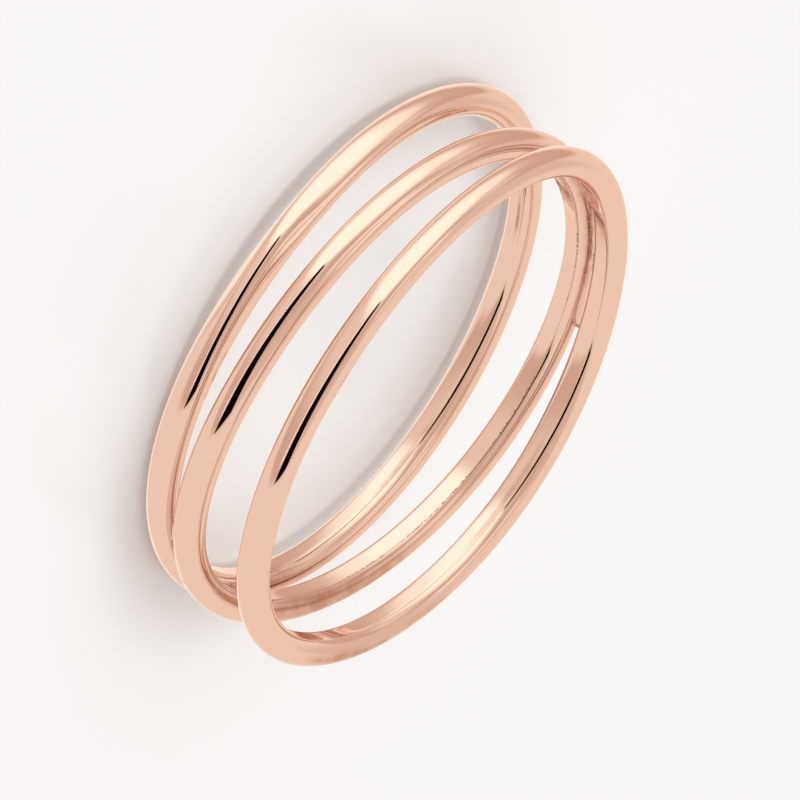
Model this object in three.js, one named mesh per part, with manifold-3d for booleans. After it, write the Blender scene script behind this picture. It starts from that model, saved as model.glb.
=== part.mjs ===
import * as THREE from 'three';
import { mergeVertices } from 'three/addons/utils/BufferGeometryUtils.js';
import Module from 'manifold-3d';

// A stackable finger ring: bands of round wire, soldered into one zigzag.
// The middle band leans. Its low side is soldered to the lower band and its high side to the
// upper band, so a narrow wedge stays open on the other side of each seam.
// The ring lies on its lower band, with the finger hole upright.
// Lengths are millimetres. Angles are degrees, counter-clockwise seen from above.

// The finger and the wire
const fingerBore = 17.3;       // across the inside of a band, a US size 7
const wireDiameter = 1.08;
const fingerFlat = 0.07;       // polished off the round of the wire on the finger side

// How the bands stand over each other
const middleLean = 4.58;
const middleLeanTowards = 340; // the side where the middle band is highest
const lowerSeamGap = 0.08;     // between the wires at a seam, before the bends below
const upperSeamGap = 0.2;

// The solder
const seamWidth = 0.5;
const seamInset = 0.05;        // from the middle of the wires towards the finger
const seamWaist = 0.2;         // share of the width that the solder draws in between the wires
const seamEndHollow = 0.25;    // how far its ends draw in between the wires
const lowerSeamFrom = 148;
const lowerSeamTo = 196;
const upperSeamFrom = 306;
const upperSeamTo = 356;

// What hand bending left in each band. A wave is two highs and two lows of the wire in one
// turn, a ripple three, and an oval two wide sides. Those three and the step aside, towards
// angle 0, are shares of the wire's diameter. Thin is the share that polishing took off the
// wire's thickness on one side, and put on it on the other. Each "At" is where it is greatest.
const lowerBends = {
  aside: 0.26, lean: 0.35, leanAt: 273, wave: 0.106, waveAt: 63,
  ripple: 0.046, rippleAt: 91, oval: 0, ovalAt: 0, thin: 0.018, thinAt: 47,
};
const middleBends = {
  aside: 0, lean: middleLean, leanAt: middleLeanTowards, wave: 0.118, waveAt: 92,
  ripple: 0.052, rippleAt: 104, oval: 0.048, ovalAt: 89, thin: 0.01, thinAt: 188,
};
const upperBends = {
  aside: 0.066, lean: 0.35, leanAt: 93, wave: 0.142, waveAt: 78,
  ripple: 0.017, rippleAt: 12, oval: 0.068, ovalAt: 0, thin: 0.061, thinAt: 63,
};

// Fineness of the faceted surface
const stepsAroundBand = 90;
const stepsAroundWire = 14;
const stepsAlongSeam = 12;
const stepsUpSeam = 4;

const roseGold = { color: 0xe8b79c, metalness: 1, roughness: 0.12 };

const wireRadius = wireDiameter / 2;
const flatReach = wireRadius - fingerFlat;   // from the wire's centre to its flat
const bandRadius = fingerBore / 2 + flatReach;
const leanRise = bandRadius * Math.sin(radians(middleLean));

const wasm = await Module();
wasm.setup();

function radians(degrees) {
  return THREE.MathUtils.degToRad(degrees);
}

// A band's bends together with the place that its height and lean give it
function placeBand(bends, height) {
  const towards = radians(bends.leanAt);
  const hingeLine = new THREE.Vector3(Math.sin(towards), -Math.cos(towards), 0);
  const place = new THREE.Matrix4().makeRotationAxis(hingeLine, radians(bends.lean));
  place.setPosition(bends.aside * wireDiameter, 0, height);
  return { ...bends, place };
}

// A point of the wire, from its angle round the band and its distance outward and upward
// from the wire's centre
function wirePoint(band, angle, outward, upward) {
  const swing = (highs, at) => Math.cos(highs * (angle - radians(at)));
  const thickness = 1 - band.thin * swing(1, band.thinAt);
  const oval = band.oval * swing(2, band.ovalAt);
  const rise = band.wave * swing(2, band.waveAt) + band.ripple * swing(3, band.rippleAt);
  const reach = bandRadius + oval * wireDiameter + outward * thickness;
  const height = rise * wireDiameter + upward * thickness;
  const point = new THREE.Vector3(reach * Math.cos(angle), reach * Math.sin(angle), height);
  return point.applyMatrix4(band.place);
}

// Moves each vertex of a geometry to where a rule puts it
function moveVertices(geometry, rule) {
  const position = geometry.getAttribute('position');
  const vertex = new THREE.Vector3();
  for (let i = 0; i < position.count; i += 1) {
    vertex.fromBufferAttribute(position, i);
    const angle = Math.atan2(vertex.y, vertex.x);
    const outward = Math.hypot(vertex.x, vertex.y) - bandRadius;
    const moved = rule(angle, outward, vertex.z);
    position.setXYZ(i, moved.x, moved.y, moved.z);
  }
}

// Shares the vertices of a closed geometry, so that only its positions are left
function weld(geometry) {
  geometry.deleteAttribute('normal');
  geometry.deleteAttribute('uv');
  return mergeVertices(geometry);
}

function toSolid(geometry) {
  const vertProperties = new Float32Array(geometry.getAttribute('position').array);
  const triVerts = new Uint32Array(geometry.index.array);
  return new wasm.Manifold(new wasm.Mesh({ numProp: 3, vertProperties, triVerts }));
}

// The wire's section, round but for the flat on the finger side, turned into a plain hoop
function plainHoop() {
  const flatEdge = Math.acos(-flatReach / wireRadius);
  const round = new THREE.Path();
  round.absarc(bandRadius, 0, wireRadius, -flatEdge, flatEdge, false);
  const section = round.getPoints(stepsAroundWire / 2);
  section.push(section[0].clone());
  const hoop = new THREE.LatheGeometry(section, stepsAroundBand);
  return weld(hoop.rotateX(Math.PI / 2));
}

function bentBand(band) {
  const hoop = plainHoop();
  moveVertices(hoop, (angle, outward, upward) => wirePoint(band, angle, outward, upward));
  return toSolid(hoop);
}

// The seam's outline seen from above: a strip along the band with round ends
function seamOutline(from, to) {
  const half = seamWidth / 2;
  const endAt = (angle) => [bandRadius * Math.cos(angle), bandRadius * Math.sin(angle)];
  const outline = new THREE.Shape();
  outline.absarc(0, 0, bandRadius + half, from, to, false);
  outline.absarc(...endAt(to), half, to, to + Math.PI, false);
  outline.absarc(0, 0, bandRadius - half, to, from, true);
  outline.absarc(...endAt(from), half, from + Math.PI, from + 2 * Math.PI, false);
  return outline;
}

// Solder that fills the narrowest place between two bands and draws in between them. It runs
// from inside the wire below to inside the wire above, a quarter of the way from each centre.
function solderSeam(below, above, fromDegrees, toDegrees) {
  const from = radians(fromDegrees);
  const to = radians(toDegrees);
  const strip = weld(new THREE.ExtrudeGeometry(seamOutline(from, to), {
    depth: 1,
    steps: stepsUpSeam,
    curveSegments: stepsAlongSeam / 2,
    bevelEnabled: false,
  }));
  const middle = (from + to) / 2;
  const endHollow = 2 * seamEndHollow / (bandRadius * (to - from));
  moveVertices(strip, (angle, outward, level) => {
    const drawnIn = 1 - (2 * level - 1) ** 2;
    const offMiddle = THREE.MathUtils.euclideanModulo(angle - middle + Math.PI, 2 * Math.PI) - Math.PI;
    const along = middle + offMiddle * (1 - endHollow * drawnIn);
    const across = outward * (1 - seamWaist * drawnIn) - seamInset;
    const low = wirePoint(below, along, across, 0);
    const high = wirePoint(above, along, across, 0);
    return low.lerp(high, THREE.MathUtils.lerp(0.25, 0.75, level));
  });
  return toSolid(strip);
}

function toGeometry(solid) {
  const mesh = solid.getMesh();
  const geometry = new THREE.BufferGeometry();
  geometry.setAttribute('position', new THREE.BufferAttribute(mesh.vertProperties, 3));
  geometry.setIndex(new THREE.BufferAttribute(mesh.triVerts, 1));
  return geometry;
}

// Stands the ring on its lower band, with its base at height 0 and its middle over the origin
function setDown(mesh) {
  mesh.geometry.computeBoundingBox();
  const box = mesh.geometry.boundingBox;
  const middle = box.getCenter(new THREE.Vector3());
  mesh.position.set(-middle.x, -middle.y, -box.min.z);
}

const lowerBand = placeBand(lowerBends, -(leanRise + wireDiameter + lowerSeamGap));
const middleBand = placeBand(middleBends, 0);
const upperBand = placeBand(upperBends, leanRise + wireDiameter + upperSeamGap);

const soldered = bentBand(lowerBand)
  .add(bentBand(middleBand))
  .add(bentBand(upperBand))
  .add(solderSeam(lowerBand, middleBand, lowerSeamFrom, lowerSeamTo))
  .add(solderSeam(middleBand, upperBand, upperSeamFrom, upperSeamTo));

const ring = new THREE.Mesh(toGeometry(soldered), new THREE.MeshStandardMaterial(roseGold));
ring.name = 'soldered_wire_bands';
setDown(ring);

const part = new THREE.Group();
part.add(ring);

export default part;
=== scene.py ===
# %% [markdown]
# # A stackable ring of soldered wire bands
# The ring is three hoops of round rose-gold wire, soldered into a zigzag: the middle hoop leans,
# and meets the lower hoop on one side and the upper hoop on the other. It lies on its side on a
# pale floor. This lesson bends the hoops, flows solder between them, joins all of it into one
# body, and polishes it. The solid model of the ring is loaded first, because the polished one
# has to fit it.

# %% Load the ring's frame
import math
import bmesh
import bpy
import numpy as np
from mathutils import Matrix, Quaternion, Vector, noise


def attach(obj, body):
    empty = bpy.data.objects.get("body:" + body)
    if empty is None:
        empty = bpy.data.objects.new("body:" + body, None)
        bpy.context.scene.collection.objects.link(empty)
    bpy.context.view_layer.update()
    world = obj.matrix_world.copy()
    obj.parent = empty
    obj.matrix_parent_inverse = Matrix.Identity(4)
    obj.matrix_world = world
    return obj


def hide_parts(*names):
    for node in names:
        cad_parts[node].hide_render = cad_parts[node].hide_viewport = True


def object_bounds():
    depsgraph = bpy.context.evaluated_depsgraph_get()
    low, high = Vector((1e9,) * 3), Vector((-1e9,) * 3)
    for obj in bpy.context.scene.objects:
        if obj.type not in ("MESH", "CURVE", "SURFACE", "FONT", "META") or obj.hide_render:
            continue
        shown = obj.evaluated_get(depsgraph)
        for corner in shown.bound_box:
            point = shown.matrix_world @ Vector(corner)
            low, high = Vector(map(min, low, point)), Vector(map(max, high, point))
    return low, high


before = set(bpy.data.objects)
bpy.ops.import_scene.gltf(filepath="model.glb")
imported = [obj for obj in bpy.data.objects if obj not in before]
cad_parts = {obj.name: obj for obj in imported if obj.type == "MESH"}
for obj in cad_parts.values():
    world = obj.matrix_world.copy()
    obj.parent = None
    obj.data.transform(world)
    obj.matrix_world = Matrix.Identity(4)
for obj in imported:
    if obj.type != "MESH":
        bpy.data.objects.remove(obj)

solid_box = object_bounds()
print("solid ring, millimetres:", [round(1000 * side, 2) for side in solid_box[1] - solid_box[0]])

# %% [markdown]
# ## Sizes
# A jeweller starts from two sizes: the finger and the wire. The rest of the ring follows them.
# Everything is modelled in millimetres, because a 1 mm wire is easier to think about than
# 0.001 m, and shrunk to metres at the end. Angles are degrees, counter-clockwise from above.

# %% The finger and the wire
MM = 0.001
FINGER_BORE = 17.3
WIRE_RADIUS = 1.08 / 2
FINGER_FLAT = 0.07
FLAT_REACH = WIRE_RADIUS - FINGER_FLAT
BAND_RADIUS = FINGER_BORE / 2 + FLAT_REACH

# How the bands stand over each other
MIDDLE_LEAN = 4.58
LEAN_RISE = BAND_RADIUS * math.sin(math.radians(MIDDLE_LEAN))
LOWER_SEAM_GAP = 0.08
UPPER_SEAM_GAP = 0.2
print("middle of the wire stands", round(BAND_RADIUS, 3), "mm from the middle of the finger")

# %% [markdown]
# ## The studio
# The photograph was taken with a long lens from about 24 degrees above the plane of the bands.
# A long lens keeps near and far bands almost the same size. The ring stood upright in it and
# lies down here, so the camera is turned along with the ring, and its picture stays the same.
# The camera is aimed first, so every later step can be judged in its view.

# %% The camera
AIM = Vector((-0.496, -0.267, 3.226)) * MM
CAMERA_AZIMUTH = 90.01
CAMERA_ELEVATION = 23.93
CAMERA_DISTANCE = 306.8 * MM
CAMERA_ROLL = 123.06
CAMERA_LENS = 423
SENSOR_WIDTH = 36

towards_camera = Vector((
    math.cos(math.radians(CAMERA_AZIMUTH)) * math.cos(math.radians(CAMERA_ELEVATION)),
    math.sin(math.radians(CAMERA_AZIMUTH)) * math.cos(math.radians(CAMERA_ELEVATION)),
    math.sin(math.radians(CAMERA_ELEVATION)),
))
bpy.ops.object.select_all(action="DESELECT")
bpy.ops.object.camera_add(location=AIM + towards_camera * CAMERA_DISTANCE)
camera = bpy.context.object
camera.name = "ring_camera"
camera.rotation_mode = "QUATERNION"
level = (-towards_camera).to_track_quat("-Z", "Y")
camera.rotation_quaternion = level @ Quaternion((0, 0, 1), math.radians(CAMERA_ROLL))
camera.data.lens = CAMERA_LENS
camera.data.sensor_width = SENSOR_WIDTH
camera.data.clip_start = 10 * MM
bpy.context.scene.camera = camera
bpy.context.scene.view_settings.view_transform = "Standard"
print("camera stands", [round(1000 * v) for v in camera.location], "mm from the ring")

# %% [markdown]
# ## What the metal sees
# A polished ring has almost no look of its own: it shows the room. A studio surrounds it with
# white, and hangs a few cards where an edge should turn bright or dark. Here the room is the
# world, and each card is a soft-edged patch of directions in it. One node group makes every
# card, with its place in degrees, so a card can be moved by typing a number.


# %% Helpers for node groups
def new_group(name, inputs, outputs):
    """A node group with named sockets, each a name, a kind and perhaps a value."""
    group = bpy.data.node_groups.new(name, "ShaderNodeTree")
    for direction, sockets in (("INPUT", inputs), ("OUTPUT", outputs)):
        for socket_name, kind, *value in sockets:
            socket = group.interface.new_socket(
                socket_name, in_out=direction, socket_type="NodeSocket" + kind)
            if value:
                socket.default_value = value[0]
    group.nodes.new("NodeGroupInput")
    group.nodes.new("NodeGroupOutput")
    return group


def add_maths(tree, operation, *inputs):
    """Adds a Math node, whose inputs are numbers or what other nodes give out."""
    node = tree.nodes.new("ShaderNodeMath")
    node.operation = operation
    for place, value in enumerate(inputs):
        if isinstance(value, (int, float)):
            node.inputs[place].default_value = value
        else:
            tree.links.new(value, node.inputs[place])
    return node.outputs[0]


# %% A group for one card
CARD_SOCKETS = (
    ("Azimuth", 0), ("Elevation", 0), ("Card azimuth", 0), ("Card elevation", 0),
    ("Half width", 20), ("Half height", 10), ("Soft edge", 4), ("Slope", 0), ("Taper", 0),
    ("Round", 0),
)


def studio_card_group():
    group = new_group("studio_card", [(name, "Float", value) for name, value in CARD_SOCKETS],
                      [("Mask", "Float")])
    card, out = group.nodes["Group Input"], group.nodes["Group Output"]
    nodes, links = group.nodes, group.links

    def maths(operation, *inputs):
        return add_maths(group, operation, *inputs)

    def inside(distance, half, softness):
        fade = nodes.new("ShaderNodeMapRange")
        fade.interpolation_type = "SMOOTHSTEP"
        edge = maths("MULTIPLY", softness, 0.5)
        links.new(maths("ABSOLUTE", distance), fade.inputs["Value"])
        for end, operation in (("From Min", "SUBTRACT"), ("From Max", "ADD")):
            links.new(maths(operation, half, edge), fade.inputs[end])
        fade.inputs["To Min"].default_value = 1
        fade.inputs["To Max"].default_value = 0
        return fade.outputs["Result"]

    round_by = maths("SUBTRACT", card.outputs["Azimuth"], card.outputs["Card azimuth"])
    aside = maths("WRAP", round_by, 180, -180)
    rise = maths("MULTIPLY", aside, card.outputs["Slope"])
    middle = maths("ADD", card.outputs["Card elevation"], rise)
    above = maths("SUBTRACT", card.outputs["Elevation"], middle)
    share = maths("DIVIDE", aside, card.outputs["Half width"])
    # a tapering card keeps its height for most of its width, and then narrows to one end
    from_thick_end = maths("MULTIPLY", maths("SUBTRACT", 1, share), 0.5)
    narrowing = maths("MULTIPLY", maths("POWER", from_thick_end, 4), card.outputs["Taper"])
    height = maths("MULTIPLY", card.outputs["Half height"], maths("SUBTRACT", 1, narrowing))
    edge = card.outputs["Soft edge"]
    straight = maths("MULTIPLY", inside(aside, card.outputs["Half width"], edge),
                     inside(above, height, edge))
    upright = maths("DIVIDE", above, height)
    radius = maths("SQRT", maths("ADD", maths("POWER", share, 2), maths("POWER", upright, 2)))
    oval = inside(radius, 1.0, maths("DIVIDE", edge, height))
    # a straight card, or an oval one where Round is 1
    choose = nodes.new("ShaderNodeMix")
    links.new(card.outputs["Round"], choose.inputs["Factor"])
    links.new(straight, choose.inputs["A"])
    links.new(oval, choose.inputs["B"])
    links.new(choose.outputs["Result"], out.inputs["Mask"])
    return group


card_group = studio_card_group()
print("card group has", len(card_group.nodes), "nodes")

# %% [markdown]
# The cards are a short table, in degrees. A brightness above 1 burns out to cream in the metal,
# and a low one goes dark. The black card stands behind the camera, and gives the dark streak
# that runs along each band. The darker a card, the warmer its colour, as the light between
# pieces of gold is.

# %% The cards
ROOM_BRIGHTNESS = 0.92
CARDS = (
    dict(name="white_behind", azimuth=270, elevation=-58, width=36, height=32, edge=26,
         brightness=1.25),
    dict(name="shade_behind", azimuth=316, elevation=40, width=34, height=20, edge=16,
         brightness=0.74),
    dict(name="shade_above", azimuth=100, elevation=60, width=52, height=34, edge=18,
         brightness=0.68),
    dict(name="below", azimuth=60, elevation=-88, width=110, height=14, edge=14,
         brightness=0.72),
    dict(name="tent_opening", azimuth=49, elevation=-3, width=99, height=68, edge=6, round=1,
         brightness=0.58),
    dict(name="inner_light", azimuth=48, elevation=-14, width=66, height=54, edge=28, round=1,
         brightness=0.86),
    dict(name="glow", azimuth=30, elevation=-10, width=38, height=56, edge=26, round=1,
         brightness=1.27),
    dict(name="softbox", azimuth=43, elevation=-11, width=33, height=48, edge=18, round=1,
         brightness=1.5),
    dict(name="side_fill", azimuth=352, elevation=32, width=14, height=11, edge=12,
         brightness=0.85),
    dict(name="shade_top", azimuth=12, elevation=78, width=58, height=16, edge=8,
         brightness=0.78),
    dict(name="top_strip", azimuth=20, elevation=65, width=42, height=3, edge=6, slope=0.08,
         brightness=1.15),
    dict(name="light_under_black", azimuth=108, elevation=4, width=32, height=5, edge=7,
         brightness=1.15),
    dict(name="black_card", azimuth=109, elevation=20.7, width=40, height=16, edge=2,
         slope=0.067, taper=0.64, brightness=0.0002),
)


def card_light(brightness):
    """The colour of a card, warmer the darker it is."""
    return (0.98 * brightness ** 0.65, brightness, brightness ** 1.12, 1)


dark_cards = [card["name"] for card in CARDS if card["brightness"] < ROOM_BRIGHTNESS]
print(len(CARDS), "cards, darker than the room:", *dark_cards)

# %% The room
world = bpy.data.worlds.new("studio")
bpy.context.scene.world = world
world.use_nodes = True
room = world.node_tree
direction = room.nodes.new("ShaderNodeTexCoord")
parts = room.nodes.new("ShaderNodeSeparateXYZ")
room.links.new(direction.outputs["Generated"], parts.inputs[0])
round_angle = add_maths(room, "ARCTAN2", parts.outputs["Y"], parts.outputs["X"])
azimuth = add_maths(room, "DEGREES", round_angle)
elevation = add_maths(room, "DEGREES", add_maths(room, "ARCSINE", parts.outputs["Z"]))
print("room starts with", len(room.nodes), "nodes")


# %% Hang the cards
def hang_card(card, behind):
    """Adds a card in front of the colour behind it, and returns the new colour."""
    place = room.nodes.new("ShaderNodeGroup")
    place.node_tree = card_group
    place.label = card["name"]
    room.links.new(azimuth, place.inputs["Azimuth"])
    room.links.new(elevation, place.inputs["Elevation"])
    for socket, value in (("Card azimuth", "azimuth"), ("Card elevation", "elevation"),
                          ("Half width", "width"), ("Half height", "height"),
                          ("Soft edge", "edge"), ("Slope", "slope"), ("Taper", "taper"),
                          ("Round", "round")):
        place.inputs[socket].default_value = card.get(value, 0)
    mix = room.nodes.new("ShaderNodeMix")
    mix.data_type = "RGBA"
    if behind is None:
        mix.inputs["A"].default_value = card_light(ROOM_BRIGHTNESS)
    else:
        room.links.new(behind, mix.inputs["A"])
    mix.inputs["B"].default_value = card_light(card["brightness"])
    room.links.new(place.outputs["Mask"], mix.inputs["Factor"])
    return mix.outputs["Result"]


colour = None
for card in CARDS:
    colour = hang_card(card, colour)
room.links.new(colour, room.nodes["Background"].inputs["Color"])
print("room has", len(room.nodes), "nodes")

# %% [markdown]
# The floor is a plain pale sheet. A large soft light above whitens it and gives the ring its
# shadow. Light and floor are kept out of the metal's reflections: in the photograph the ring
# stands upright, so its bands never see the floor that they lie on here, and the room below
# the horizon takes its place.


# %% The light above
def soft_light(name, place, aim, size, power):
    bpy.ops.object.select_all(action="DESELECT")
    bpy.ops.object.light_add(type="AREA", location=Vector(place) * MM)
    light = bpy.context.object
    light.name = name
    light.data.shape = "DISK"
    light.data.size = size * MM
    light.data.energy = power
    light.rotation_mode = "QUATERNION"
    light.rotation_quaternion = (Vector(aim) - Vector(place)).to_track_quat("-Z", "Y")
    light.visible_glossy = False
    return light


overhead = soft_light("overhead", (60, 40, 420), (0, 0, 0), 300, 0.5)
print("overhead lamp is", round(overhead.data.size / MM), "mm wide")

# %% The floor
FLOOR_SIDE = 3000 * MM
PALE = (0.9, 0.9, 0.9, 1)
bpy.ops.mesh.primitive_plane_add(size=FLOOR_SIDE)
floor = bpy.context.object
floor.name = "floor"
floor.visible_glossy = False
floor_paper = bpy.data.materials.new("pale_floor")
floor_paper.use_nodes = True
floor_shader = floor_paper.node_tree.nodes["Principled BSDF"]
floor_shader.inputs["Base Color"].default_value = PALE
floor_shader.inputs["Roughness"].default_value = 0.22
floor.data.materials.append(floor_paper)
print("floor lies at height", floor.location.z)

# %% [markdown]
# ## A plain hoop of wire
# Band wire is drawn round, and the finger side is polished flat once the ring is closed. The
# section is drawn as a circle, cut off at the flat and closed again. Then it is spun once
# round the finger. A bevel rounds the two edges of the flat, as the polishing wheel does.

# %% Selecting by place
CLOSE = 1e-4   # points nearer than this, in millimetres, count as one


def select_points(piece, test):
    """Selects, in edit mode, the points of a piece whose place passes a test."""
    bpy.ops.mesh.select_all(action="DESELECT")
    mesh = bmesh.from_edit_mesh(piece.data)
    for point in mesh.verts:
        point.select = test(point.co)
    mesh.select_flush(True)
    bmesh.update_edit_mesh(piece.data)


# %% The plain hoop
WIRE_SIDES = 64
BAND_STEPS = 360
# How deep each band is polished flat on the finger side, and how softly that flat runs out, in
# millimetres, and how far it is rolled and twisted round the wire, in degrees. The middle band
# keeps the crispest edges.
FINGER_FLATS = dict(
    lower=dict(depth=0.07, soft=0.035, roll=-9, twist=6),
    middle=dict(depth=0.077, soft=0.016, roll=-2.1, twist=0),
    upper=dict(depth=0.065, soft=0.035, roll=-6, twist=6),
)
FLAT_CUTS = 7
EDGE_ROUNDING = 0.02


def plain_hoop(name):
    bpy.ops.object.select_all(action="DESELECT")
    bpy.ops.mesh.primitive_circle_add(
        vertices=WIRE_SIDES, radius=WIRE_RADIUS,
        location=(BAND_RADIUS, 0, 0), rotation=(math.radians(90), 0, 0),
    )
    hoop = bpy.context.object
    hoop.name = name + "_band"
    bpy.ops.object.transform_apply(location=True, rotation=True, scale=True)
    flat_at = BAND_RADIUS - WIRE_RADIUS + FINGER_FLATS[name]["depth"]
    bpy.ops.object.mode_set(mode="EDIT")
    bpy.ops.mesh.select_all(action="SELECT")
    bpy.ops.mesh.bisect(plane_co=(flat_at, 0, 0), plane_no=(1, 0, 0), clear_inner=True)
    select_points(hoop, lambda co: co.x < flat_at + CLOSE)
    bpy.ops.mesh.edge_face_add()
    bpy.ops.mesh.bevel(offset=EDGE_ROUNDING, segments=3, affect="VERTICES")
    select_points(hoop, lambda co: co.x < flat_at + CLOSE)
    bpy.ops.mesh.subdivide(number_cuts=FLAT_CUTS)
    bpy.ops.mesh.select_all(action="SELECT")
    bpy.ops.mesh.spin(steps=BAND_STEPS, angle=math.tau, center=(0, 0, 0), axis=(0, 0, 1))
    bpy.ops.mesh.select_all(action="SELECT")
    bpy.ops.mesh.remove_doubles(threshold=CLOSE)
    bpy.ops.mesh.normals_make_consistent(inside=False)
    bpy.ops.object.mode_set(mode="OBJECT")
    return hoop


bands = {name: plain_hoop(name) for name in FINGER_FLATS}
for name, band in bands.items():
    print(name, "band:", len(band.data.polygons), "faces", [round(s, 2) for s in band.dimensions])

# %% [markdown]
# ## Bending the bands
# Wire closed and soldered by hand is never quite flat or round. Each band keeps a wave, a
# ripple, an oval and a thinner side from it, up to about 0.15 mm each, and they show in how the
# gaps between the bands open and close. No operator bends a hoop like that, so one function
# moves the points: it reads each point as an angle round the band and a distance from the
# wire's centre, and puts it back where the bent wire has it.

# %% What hand bending left in each band
BENDS = dict(
    lower=dict(aside=0.26, lean=0.35, lean_at=273, wave=0.106, wave_at=63, ripple=0.046,
               ripple_at=91, oval=0.0, oval_at=0, thin=0.018, thin_at=47),
    middle=dict(aside=0.0, lean=MIDDLE_LEAN, lean_at=340, wave=0.118, wave_at=92, ripple=0.052,
                ripple_at=104, oval=0.048, oval_at=89, thin=0.01, thin_at=188),
    upper=dict(aside=0.066, lean=0.35, lean_at=93, wave=0.142, wave_at=78, ripple=0.017,
               ripple_at=12, oval=0.068, oval_at=0, thin=0.061, thin_at=63),
)
HEIGHTS = dict(
    lower=-(LEAN_RISE + 2 * WIRE_RADIUS + LOWER_SEAM_GAP),
    middle=0.0,
    upper=LEAN_RISE + 2 * WIRE_RADIUS + UPPER_SEAM_GAP,
)


def swing(angle, highs, at):
    return np.cos(highs * (angle - math.radians(at)))


def hand_bends(name, angle):
    """A band's thickness, oval and rise at each angle, as shares of the plain wire's size."""
    bend = BENDS[name]
    thickness = 1 - bend["thin"] * swing(angle, 1, bend["thin_at"])
    oval = bend["oval"] * swing(angle, 2, bend["oval_at"])
    rise = (bend["wave"] * swing(angle, 2, bend["wave_at"])
            + bend["ripple"] * swing(angle, 3, bend["ripple_at"]))
    return thickness, oval, rise


def stand_of(name):
    """How a band leans, as a matrix, and where its middle stands."""
    bend = BENDS[name]
    towards = math.radians(bend["lean_at"])
    lean = Matrix.Rotation(math.radians(bend["lean"]), 3,
                           Vector((math.sin(towards), -math.cos(towards), 0)))
    return np.array(lean), np.array([bend["aside"] * 2 * WIRE_RADIUS, 0, HEIGHTS[name]])


def wire_points(name, angle, outward, upward):
    """Places points of a band from their angle and their distance from the wire's centre."""
    thickness, oval, rise = hand_bends(name, angle)
    lean, middle = stand_of(name)
    reach = BAND_RADIUS + oval * 2 * WIRE_RADIUS + outward * thickness
    height = rise * 2 * WIRE_RADIUS + upward * thickness
    flat = np.stack([reach * np.cos(angle), reach * np.sin(angle), height], axis=1)
    return flat @ lean.T + middle


for name in BENDS:
    print(name, "band leans", BENDS[name]["lean"], "degrees, middle at", round(HEIGHTS[name], 2))

# %% [markdown]
# A polishing wheel never leaves wire quite round. It takes off a few hundredths of a millimetre
# in three faint facets, which turn slowly round the wire and are deepest on the side towards
# the camera. They can't be seen as a shape, but they move the reflections: each band shows its
# dark streak at another height. The finger flats are rolled a little in the same way.

# %% The facets that polishing left
FACETS = dict(
    lower=dict(depth=0.065, turns=5, at=224),
    middle=dict(depth=0.036, turns=-1, at=120),
    upper=dict(depth=0.053, turns=2, at=206),
)
FACET_COUNT = 3
FACETS_START = 55       # degrees round the wire, from the middle of the finger flat
FACETS_FULL = 85
MOST_WORN_AT = 96       # the angle round the band that faces the camera
TWISTS = 3              # how many times round the band a finger flat twists to and fro
TWIST_AT = 310


def softer_least(first, second, soft):
    """The smaller of two numbers, with a rounded change from one to the other."""
    share = np.clip(0.5 + 0.5 * (second - first) / soft, 0, 1)
    return second + (first - second) * share - soft * share * (1 - share)


def flat_roll(name, angle):
    """How far a band's finger flat is turned round the wire, which hand polishing varies."""
    flat = FINGER_FLATS[name]
    return np.radians(flat["roll"] + flat["twist"] * swing(angle, TWISTS, TWIST_AT))


def polished(name, angle, outward, upward):
    """Moves points of the round wire onto a band's finger flat and its faint facets."""
    facet, flat = FACETS[name], FINGER_FLATS[name]
    from_flat = np.arctan2(upward, -outward)
    flat_distance = (WIRE_RADIUS - flat["depth"]) / np.maximum(np.cos(from_flat), 0.3)
    wanted = softer_least(WIRE_RADIUS, flat_distance, flat["soft"])
    around = from_flat + flat_roll(name, angle)
    past_flat = np.abs(around) - math.radians(FACETS_START)
    away = np.clip(past_flat / math.radians(FACETS_FULL - FACETS_START), 0, 1)
    away = away * away * (3 - 2 * away)
    wave = np.cos(FACET_COUNT * around + facet["turns"] * angle - math.radians(facet["at"]))
    most_worn = (0.5 + 0.5 * swing(angle, 1, MOST_WORN_AT)) ** 4
    reach = wanted * (1 + facet["depth"] * most_worn * away * wave)
    return angle, -np.cos(around) * reach, np.sin(around) * reach


deepest = max(facet["depth"] for facet in FACETS.values()) * WIRE_RADIUS
print("deepest facet:", round(deepest, 3), "mm")


# %% Bend a hoop into each band
def move_points(piece, rule):
    mesh = piece.data
    points = np.empty(len(mesh.vertices) * 3)
    mesh.vertices.foreach_get("co", points)
    x, y, z = points.reshape(-1, 3).T
    moved = rule(np.arctan2(y, x), np.hypot(x, y) - BAND_RADIUS, z)
    mesh.vertices.foreach_set("co", moved.ravel())
    mesh.update()


for name, band in bands.items():
    move_points(band, lambda *place: wire_points(name, *polished(name, *place)))
    print(name, "band reaches", round(max(v.co.z for v in band.data.vertices), 2), "mm high")

# %% [markdown]
# ## Solder
# Where two bands nearly touch, molten solder runs into the gap and pulls itself hollow between
# the wires. Each seam starts as a small upright grid across the gap, spun along the bands and
# then fitted between the two bent wires by the same function, so it follows them exactly.

# %% The solder seams
SEAM_WIDTH = 0.5
SEAM_INSET = 0.05
SEAM_WAIST = 0.2
SEAM_END_HOLLOW = 0.25
# Each seam is fuller on one side, where the solder ran nearly flush: at an angle, over a half
# length in degrees, by a reach in millimetres towards the finger or away from it.
SEAMS = (
    dict(name="lower_seam", below="lower", above="middle", start=148, end=196,
         fuller_at=184, fuller_half=16, towards_finger=0.05, away=0.12),
    dict(name="upper_seam", below="middle", above="upper", start=301, end=356,
         fuller_at=338, fuller_half=15, towards_finger=0.02, away=0.05),
)
SEAM_ACROSS, SEAM_UPWARD, SEAM_STEPS = 10, 12, 150
SOLDER_ROUGHNESS = 0.005


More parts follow.
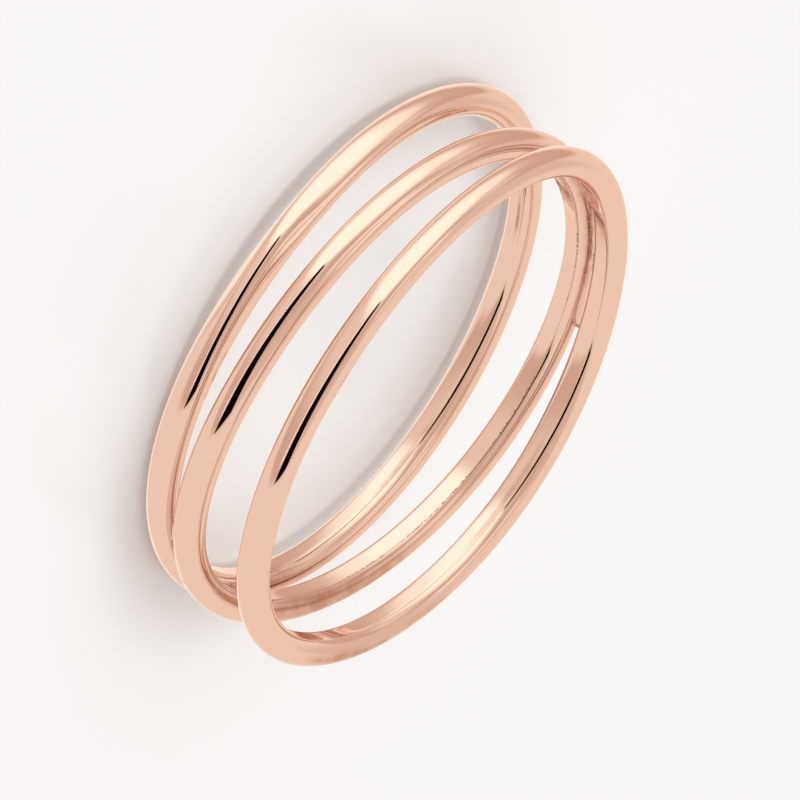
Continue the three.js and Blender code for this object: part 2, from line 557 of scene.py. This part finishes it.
def solder_strip(seam):
    start, end = math.radians(seam["start"]), math.radians(seam["end"])
    bpy.ops.object.select_all(action="DESELECT")
    bpy.ops.mesh.primitive_grid_add(
        x_subdivisions=SEAM_ACROSS, y_subdivisions=SEAM_UPWARD, size=1,
        location=(BAND_RADIUS, 0, 0), rotation=(math.radians(90), 0, 0),
    )
    strip = bpy.context.object
    strip.name = seam["name"]
    strip.scale = (SEAM_WIDTH, 1, 1)
    bpy.ops.object.transform_apply(location=True, rotation=True, scale=True)
    bpy.ops.object.mode_set(mode="EDIT")
    bpy.ops.mesh.select_all(action="SELECT")
    bpy.ops.transform.rotate(value=-start, orient_axis="Z", center_override=(0, 0, 0))
    bpy.ops.mesh.spin(steps=SEAM_STEPS, angle=start - end, center=(0, 0, 0), axis=(0, 0, 1))
    bpy.ops.mesh.select_all(action="SELECT")
    bpy.ops.mesh.normals_make_consistent(inside=False)
    bpy.ops.object.mode_set(mode="OBJECT")
    return strip


for seam in SEAMS:
    length = BAND_RADIUS * math.radians(seam["end"] - seam["start"])
    print(seam["name"], "is", round(length, 1), "mm long")


# %% Fit each seam between its bands
def fit_between(strip, seam):
    start, end = math.radians(seam["start"]), math.radians(seam["end"])
    middle = (start + end) / 2
    end_hollow = 2 * SEAM_END_HOLLOW / (BAND_RADIUS * (end - start))

    def between(angle, outward, level):
        drawn_in = 1 - (2 * level) ** 2
        off_middle = (angle - middle + math.pi) % math.tau - math.pi
        along = middle + off_middle * (1 - end_hollow * drawn_in)
        share_of_way = np.abs(off_middle) / ((end - start) / 2)
        # the solder keeps its width nearly to its end, and rounds off there
        round_end = np.sqrt(np.clip(1.02 - share_of_way ** 8, 0, 1))
        from_fullest = along - math.radians(seam["fuller_at"])
        from_fullest = from_fullest / math.radians(seam["fuller_half"])
        fuller = np.exp(-from_fullest ** 4)
        side = outward / (SEAM_WIDTH / 2)
        reach = np.where(side < 0, seam["towards_finger"], seam["away"])
        # faint lumps, about half a millimetre across
        lumps = np.array([
            noise.noise(Vector((20 * a, 3 * o, 2 * l))) for a, o, l in zip(angle, outward, level)
        ])
        across = outward * (1 - SEAM_WAIST * drawn_in) + side * fuller * reach
        across = across * round_end + side * lumps * SOLDER_ROUGHNESS - SEAM_INSET
        low = wire_points(seam["below"], along, across, 0 * level)
        high = wire_points(seam["above"], along, across, 0 * level)
        share = (0.5 + 0.5 * level)[:, None]
        return low * (1 - share) + high * share

    move_points(strip, between)


strips = []
for seam in SEAMS:
    strip = solder_strip(seam)
    turned = [math.degrees(math.atan2(v.co.y, v.co.x)) % 360 for v in strip.data.vertices]
    fit_between(strip, seam)
    strips.append(strip)
    print(seam["name"], "runs from", round(min(turned)), "to", round(max(turned)), "degrees")

# %% [markdown]
# ## One soldered body
# On the real ring the bands and the solder are one piece of metal, so they are joined with
# exact unions. The creases that the unions leave are the fine lines beside the solder.

# %% Join the bands and the solder
ring = bands["lower"]
bpy.ops.object.select_all(action="DESELECT")
bpy.context.view_layer.objects.active = ring
ring.select_set(True)
for part in (bands["middle"], bands["upper"], *strips):
    union = ring.modifiers.new("solder", "BOOLEAN")
    union.operation = "UNION"
    union.solver = "EXACT"
    union.object = part
    bpy.ops.object.modifier_apply(modifier="solder")
    bpy.data.objects.remove(part)
ring.name = "rose_gold_ring"
print("joined ring:", len(ring.data.polygons), "faces")

# %% [markdown]
# ## What stayed on the metal, and where shade is painted
# Some things on the real ring follow its shape, so they are measured here and kept with the
# points, for the metal to read. Where two bands nearly touch, the gap is painted darker as
# shade, broken into specks that also stand for the flux and polish the wheel can't reach. Flux
# and polish also stay in the creases beside the solder, and on the crisp edge of the middle
# band's finger flat, which is a little torn. Brown patches are painted in as shade, for the dark
# neighbouring bands seen in the polish. To find these places, each point is first read as each
# band sees it, by the reverse of the function that bent the bands.


# %% Where the points lie on each band
def wire_place(name, points):
    """The reverse of wire_points: angle, outward and upward of points seen from one band."""
    lean, middle = stand_of(name)
    x, y, z = ((points - middle) @ lean).T
    angle = np.arctan2(y, x)
    thickness, oval, rise = hand_bends(name, angle)
    outward = (np.hypot(x, y) - BAND_RADIUS - oval * 2 * WIRE_RADIUS) / thickness
    upward = (z - rise * 2 * WIRE_RADIUS) / thickness
    return angle, outward, upward


surface = np.array([v.co for v in ring.data.vertices])
places = {name: wire_place(name, surface) for name in BENDS}
for name, (_, outward, upward) in places.items():
    on_band = np.hypot(outward, upward) < WIRE_RADIUS + 0.01
    print(name, "band has", int(on_band.sum()), "points")

# %% The narrow gaps
# the narrow gaps get painted shade as well as dirt
GAP_REACH = 0.24   # millimetres from the second wire where the dirt begins
from_wires = np.sort([np.hypot(out, up) for _, out, up in places.values()], axis=0)
narrow = np.clip(1 - (from_wires[1] - WIRE_RADIUS) / GAP_REACH, 0, 1)
print("points in narrow gaps:", int((narrow > 0.3).sum()))

# %% The torn edge
EDGE_WIDTH = 4.5   # degrees round the wire, to each side of the edge
angle, outward, upward = places["middle"]
on_middle = np.abs(np.hypot(outward, upward) - WIRE_RADIUS) < 0.08
flat_edge = math.degrees(math.acos(1 - FINGER_FLATS["middle"]["depth"] / WIRE_RADIUS))
off_edge = np.degrees(np.arctan2(upward, -outward) - flat_roll("middle", angle)) - flat_edge
torn = np.clip(1 - np.abs(off_edge) / EDGE_WIDTH, 0, 1) * on_middle
print("points on the torn edge:", int((torn > 0.3).sum()))

# %% The creases beside the solder
CREASE_ANGLE = 22
CREASE_INSIDE, CREASE_OUTSIDE = 1.5, 0.6   # rough and dirty on the finger side, cleaner outside
creases = np.zeros(len(surface))
mesh = bmesh.new()
mesh.from_mesh(ring.data)
for edge in mesh.edges:
    if edge.calc_face_angle(0) > math.radians(CREASE_ANGLE):
        for point in edge.verts:
            if narrow[point.index] > 0.1:
                inside = np.hypot(point.co.x, point.co.y) < BAND_RADIUS
                creases[point.index] = CREASE_INSIDE if inside else CREASE_OUTSIDE
mesh.free()
print("points on creases:", int((creases > 0).sum()))

# %% [markdown]
# Marks and painted shades are a table: the band, the angle round the band, the angle around the
# wire from the finger side upward, and the half length and half width in millimetres. A mark is
# rough and dirty. A painted shade is brown in the colour that stands for a dark neighbouring band
# seen in the polish, and dulls the polish only a little.

# %% The marks and the painted shades
MARKS = (
    dict(band="middle", angle=162.4, around=176, long=0.12, wide=0.08),
    dict(band="middle", angle=170, around=76, long=0.9, wide=0.05),
    dict(band="lower", angle=191, around=68, long=0.5, wide=0.05),
    dict(band="middle", angle=340, around=70, long=1.6, wide=0.05, strength=1.5),
    dict(band="middle", angle=313, around=92, long=0.9, wide=0.08, strength=1.4),
)
PAINTED_SHADES = (
    dict(band="middle", angle=217, around=78, long=4.1, wide=0.5, strength=1.0),
    dict(band="middle", angle=170, around=52, long=3.2, wide=0.3, strength=0.6),
    dict(band="middle", angle=332, around=80, long=4.6, wide=0.26, strength=0.75),
    dict(band="middle", angle=229, around=93, long=2.2, wide=0.2, strength=1.0),
    dict(band="upper", angle=206, around=102, long=2.6, wide=0.25, strength=0.9),
    dict(band="upper", angle=224, around=90, long=2.2, wide=0.16, strength=0.6),
    dict(band="upper", angle=262, around=8, long=2.2, wide=0.12, strength=0.7),
    dict(band="upper", angle=340, around=-15, long=1.8, wide=0.3, strength=0.4),
    dict(band="lower", angle=218, around=92, long=1.9, wide=0.22, strength=0.7),
    dict(band="lower", angle=256, around=14, long=1.7, wide=0.11, strength=0.6),
    dict(band="lower", angle=204, around=60, long=1.6, wide=0.5, strength=0.6),
    dict(band="lower", angle=320.5, around=14, long=1.1, wide=0.05, strength=1.3),
    dict(band="upper", angle=192, around=-3, long=0.6, wide=0.14, strength=0.9),
)


def spot(band, angle, around, long, wide, strength=1.0, evenness=2):
    """How strongly each point of the ring lies in one oval spot on a band."""
    turned, outward, upward = places[band]
    along = (turned - math.radians(angle) + math.pi) % math.tau - math.pi
    across = np.arctan2(upward, -outward) - math.radians(around)
    across = (across + math.pi) % math.tau - math.pi
    distance = np.hypot(along * BAND_RADIUS / long, across * WIRE_RADIUS / wide)
    on_band = np.abs(np.hypot(outward, upward) - WIRE_RADIUS) < 0.1
    return strength * np.exp(-distance ** evenness) * on_band


marks = np.maximum.reduce([spot(**mark) for mark in MARKS])
# painted shade: brown patches standing for the dark neighbouring bands seen in the polish
painted_shade = np.maximum.reduce([spot(**shade_spot, evenness=4) for shade_spot in PAINTED_SHADES])
print("points under marks:", int((marks > 0.3).sum()), "under stains:", int((painted_shade > 0.3).sum()))


# %% Keep all of it with the points
def keep_with_points(piece, name, values):
    attribute = piece.data.attributes.new(name, "FLOAT", "POINT")
    attribute.data.foreach_set("value", values.astype(np.float32))


keep_with_points(ring, "narrow_gap", narrow)
keep_with_points(ring, "torn_edge", np.maximum.reduce([torn * 0.9, creases, marks]))
# the painted brown shade, with painted shade in the narrow gaps added to it
keep_with_points(ring, "painted_brown_shade", np.maximum(painted_shade, 0.6 * narrow))
print("kept with the points:", [a.name for a in ring.data.attributes if a.data_type == "FLOAT"])

# %% [markdown]
# ## Setting the ring down
# The polished ring stands where the solid one stands: on its lower band, with its middle over
# the middle of the frame. Its millimetres become metres here. It came out one or two hundredths
# of a millimetre wider than the solid ring, so it is shrunk by that share, and is never larger.

# %% Set the ring down
SMOOTH_BELOW = 24   # degrees between faces, past which an edge stays sharp
low, high = surface.min(axis=0), surface.max(axis=0)
stand = Vector(((low[0] + high[0]) / 2, (low[1] + high[1]) / 2, low[2]))
solid_low, solid_high = solid_box
base = Vector(((solid_low.x + solid_high.x) / 2, (solid_low.y + solid_high.y) / 2, solid_low.z))
solid_size = np.array(solid_high - solid_low)
to_metres = np.minimum(MM, solid_size / (high - low))
shrink = Matrix.Diagonal((*to_metres, 1))
ring.data.transform(Matrix.Translation(base) @ shrink @ Matrix.Translation(-stand))
bpy.ops.object.shade_smooth_by_angle(angle=math.radians(SMOOTH_BELOW))
print("shrunk by the shares", [round(float(1 - share / MM), 5) for share in to_metres])
print("polished ring, millimetres:", [round(1000 * s, 2) for s in ring.dimensions])

# %% [markdown]
# ## Rose gold
# Rose gold is gold with copper: a metal whose reflections are tinted peach. High polish is
# smooth but never perfect. The wheel runs along the wire, so what it leaves is long along the
# band and narrow across it: faint waves that bend the reflections, and hairlines too fine to
# see one by one. A texture of that shape is made once, in a node group, and used at two sizes.


# %% A texture drawn out along the wire
def along_wire_group():
    """Noise in turns round the band and in millimetres across the wire."""
    group = new_group(
        "texture_along_wire",
        (("Place", "Vector"), ("Times round", "Float", 8.0), ("Per millimetre", "Float", 2.0)),
        (("Value", "Float"),),
    )
    place, out = group.nodes["Group Input"], group.nodes["Group Output"]
    split = group.nodes.new("ShaderNodeSeparateXYZ")
    group.links.new(place.outputs["Place"], split.inputs[0])
    x, y, z = split.outputs
    reach = add_maths(group, "SQRT", add_maths(group, "ADD", add_maths(group, "POWER", x, 2),
                                               add_maths(group, "POWER", y, 2)))
    across = add_maths(group, "MULTIPLY", place.outputs["Per millimetre"], 1 / MM)
    times = add_maths(group, "DIVIDE", place.outputs["Times round"], math.tau)
    # x and y go round the band in turns, z is the distance from the middle of the finger, and
    # the fourth side is the height
    joined = group.nodes.new("ShaderNodeCombineXYZ")
    for socket, side in ((0, x), (1, y)):
        share = add_maths(group, "DIVIDE", side, reach)
        group.links.new(add_maths(group, "MULTIPLY", share, times), joined.inputs[socket])
    group.links.new(add_maths(group, "MULTIPLY", reach, across), joined.inputs[2])
    drawn = group.nodes.new("ShaderNodeTexNoise")
    drawn.noise_dimensions = "4D"
    drawn.inputs["Scale"].default_value = 1
    drawn.inputs["Detail"].default_value = 1
    group.links.new(joined.outputs[0], drawn.inputs["Vector"])
    group.links.new(add_maths(group, "MULTIPLY", z, across), drawn.inputs["W"])
    group.links.new(drawn.outputs["Fac"], out.inputs["Value"])
    return group


along_wire = along_wire_group()
print("texture group has", len(along_wire.nodes), "nodes")

# %% [markdown]
# The narrow gaps get painted shade, broken into specks that also stand for the flux and polish
# left there, and the torn edge catches flux and polish as specks. Both are one mask: the
# measured gap or edge, broken up by a fine noise.


# %% Painted shade and flux in the gaps, and what stays on the edges
def shade_and_dirt_group():
    group = new_group(
        "painted_gap_shade_and_dirt",
        (("Place", "Vector"), ("Narrow gap", "Float"), ("Torn edge", "Float")),
        (("Mask", "Float"),),
    )
    place, out = group.nodes["Group Input"], group.nodes["Group Output"]

    def grains(per_millimetre, detail):
        node = group.nodes.new("ShaderNodeTexNoise")
        node.inputs["Scale"].default_value = per_millimetre / MM
        node.inputs["Detail"].default_value = detail
        group.links.new(place.outputs["Place"], node.inputs["Vector"])
        return node.outputs["Fac"]

    def ramp(value, start, end):
        node = group.nodes.new("ShaderNodeMapRange")
        node.interpolation_type = "SMOOTHSTEP"
        node.inputs["From Min"].default_value = start
        node.inputs["From Max"].default_value = end
        group.links.new(value, node.inputs["Value"])
        return node.outputs["Result"]

    broken = add_maths(group, "MULTIPLY", add_maths(group, "SUBTRACT", grains(4, 3), 0.5), 1.1)
    # painted shade in the narrow gaps between bands, broken into specks that also stand for flux
    gap = ramp(add_maths(group, "ADD", place.outputs["Narrow gap"], broken), 0.55, 1.0)
    patches = ramp(grains(0.35, 1), 0.36, 0.52)
    specks = ramp(grains(9, 2), 0.47, 0.59)
    fine_line = add_maths(group, "MAXIMUM", 0.2, add_maths(
        group, "SUBTRACT", place.outputs["Torn edge"], 0.9))
    broken_line = add_maths(group, "MAXIMUM", fine_line, add_maths(
        group, "MULTIPLY", patches, specks))
    edge = add_maths(group, "MULTIPLY", ramp(place.outputs["Torn edge"], 0.15, 0.7), broken_line)
    group.links.new(add_maths(group, "MAXIMUM", gap, edge), out.inputs["Mask"])
    return group


shade_and_dirt_nodes = shade_and_dirt_group()
print("mask group has", len(shade_and_dirt_nodes.nodes), "nodes")

# %% [markdown]
# The metal itself is one shader. Between two polished bands the tint would deepen with every
# reflection. On the real ring stray white light fills that in, so a reflection seen in another
# reflection is given a paler tint. Beside the seams a thin brown is painted in as shade, for the
# dark neighbouring bands seen in the polish, uneven like breath on a mirror, and it darkens the
# gold without hiding its shine.

# %% Helpers for the metal
rose_gold = bpy.data.materials.new("rose_gold")
rose_gold.use_nodes = True
metal = rose_gold.node_tree


def mixed_colour(first, second, factor):
    node = metal.nodes.new("ShaderNodeMix")
    node.data_type = "RGBA"
    for socket, colour in (("A", first), ("B", second)):
        if isinstance(colour, tuple):
            node.inputs[socket].default_value = colour
        else:
            metal.links.new(colour, node.inputs[socket])
    metal.links.new(factor, node.inputs["Factor"])
    return node.outputs["Result"]


def scaled(value, low, high, start=0.0, end=1.0):
    node = metal.nodes.new("ShaderNodeMapRange")
    metal.links.new(value, node.inputs["Value"])
    for socket, number in (("From Min", start), ("From Max", end), ("To Min", low),
                           ("To Max", high)):
        node.inputs[socket].default_value = number
    return node.outputs["Result"]


def group_node(group, **values):
    node = metal.nodes.new("ShaderNodeGroup")
    node.node_tree = group
    for socket, value in values.items():
        socket = socket.replace("_", " ")
        if isinstance(value, float):
            node.inputs[socket].default_value = value
        else:
            metal.links.new(value, node.inputs[socket])
    return node.outputs[0]


def kept_value(name):
    node = metal.nodes.new("ShaderNodeAttribute")
    node.attribute_name = name
    return node.outputs["Fac"]


def raised(height, distance, normal=None):
    node = metal.nodes.new("ShaderNodeBump")
    node.inputs["Distance"].default_value = distance
    metal.links.new(height, node.inputs["Height"])
    if normal is not None:
        metal.links.new(normal, node.inputs["Normal"])
    return node.outputs["Normal"]


print("rose gold starts with", len(metal.nodes), "nodes")

# %% The textures of the metal
coordinates = metal.nodes.new("ShaderNodeTexCoord").outputs["Object"]
polish_waves = group_node(along_wire, Place=coordinates, Times_round=11.0, Per_millimetre=1.6)
hairlines = group_node(along_wire, Place=coordinates, Times_round=60.0, Per_millimetre=26.0)
# painted shade in the narrow gaps with flux there, and real marks on the torn edge and creases
shade_and_dirt = group_node(shade_and_dirt_nodes, Place=coordinates, Narrow_gap=kept_value("narrow_gap"),
                  Torn_edge=kept_value("torn_edge"))
clouds = metal.nodes.new("ShaderNodeTexNoise")
clouds.inputs["Scale"].default_value = 1.3 / MM
metal.links.new(coordinates, clouds.inputs["Vector"])
cloudy = scaled(clouds.outputs["Fac"], 0.6, 1.15, 0.35, 0.65)
# how deep the painted brown shade lies, made uneven by the clouds
painted_shade_depth = add_maths(metal, "MULTIPLY", kept_value("painted_brown_shade"), cloudy)
print("rose gold has", len(metal.nodes), "nodes with its textures")

# %% The colour of the metal
GOLD = (0.91, 0.6, 0.46, 1)
GOLD_AT_THE_EDGE = (1.0, 0.86, 0.78, 1)
GOLD_SEEN_IN_GOLD = (0.84, 0.75, 0.71, 1)
# the first brown is painted shade for the dark neighbouring bands seen in the polish; the second
# is painted shade in the narrow gaps and also the real flux on marks and edges
PAINTED_SHADE_BROWN = (0.6, 0.3, 0.19, 1)
GAP_SHADE_AND_FLUX_BROWN = (0.34, 0.17, 0.11, 1)
gold = metal.nodes["Principled BSDF"]
gold.inputs["Metallic"].default_value = 1
gold.inputs["Specular Tint"].default_value = GOLD_AT_THE_EDGE
ray = metal.nodes.new("ShaderNodeLightPath")
clean = mixed_colour(GOLD, GOLD_SEEN_IN_GOLD, ray.outputs["Is Glossy Ray"])
# painted shade: brown over the clean gold where the neighbouring bands would be seen in it
with_painted_shade = mixed_colour(clean, PAINTED_SHADE_BROWN, painted_shade_depth)
# painted gap shade and flux brown are laid over that
metal.links.new(mixed_colour(with_painted_shade, GAP_SHADE_AND_FLUX_BROWN, scaled(shade_and_dirt, 0, 0.85)),
                gold.inputs["Base Color"])
print("clean gold:", GOLD[:3])

# %% The polish of the metal
WAVE_HEIGHT = 0.018 * MM
GAP_AND_MARK_DEPTH = 0.01 * MM
smooth = scaled(hairlines, 0.02, 0.06, 0.35, 0.65)
dirty = add_maths(metal, "ADD", smooth, scaled(shade_and_dirt, 0, 0.3))
metal.links.new(add_maths(metal, "ADD", dirty, scaled(painted_shade_depth, 0, 0.16)),
                gold.inputs["Roughness"])
metal.links.new(raised(shade_and_dirt, -GAP_AND_MARK_DEPTH, raised(polish_waves, WAVE_HEIGHT)),
                gold.inputs["Normal"])
print("rose gold has", len(metal.nodes), "nodes")

# %% [markdown]
# ## Finishing
# The ring takes its metal. It rides on the frame's only body, because nothing on it moves, and
# it takes the place of the plain solid ring.

# %% The ring takes its metal and its place
ring.data.materials.clear()
ring.data.materials.append(rose_gold)

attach(ring, "root")
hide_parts("soldered_wire_bands")
print("ring has", len(ring.data.vertices), "points")
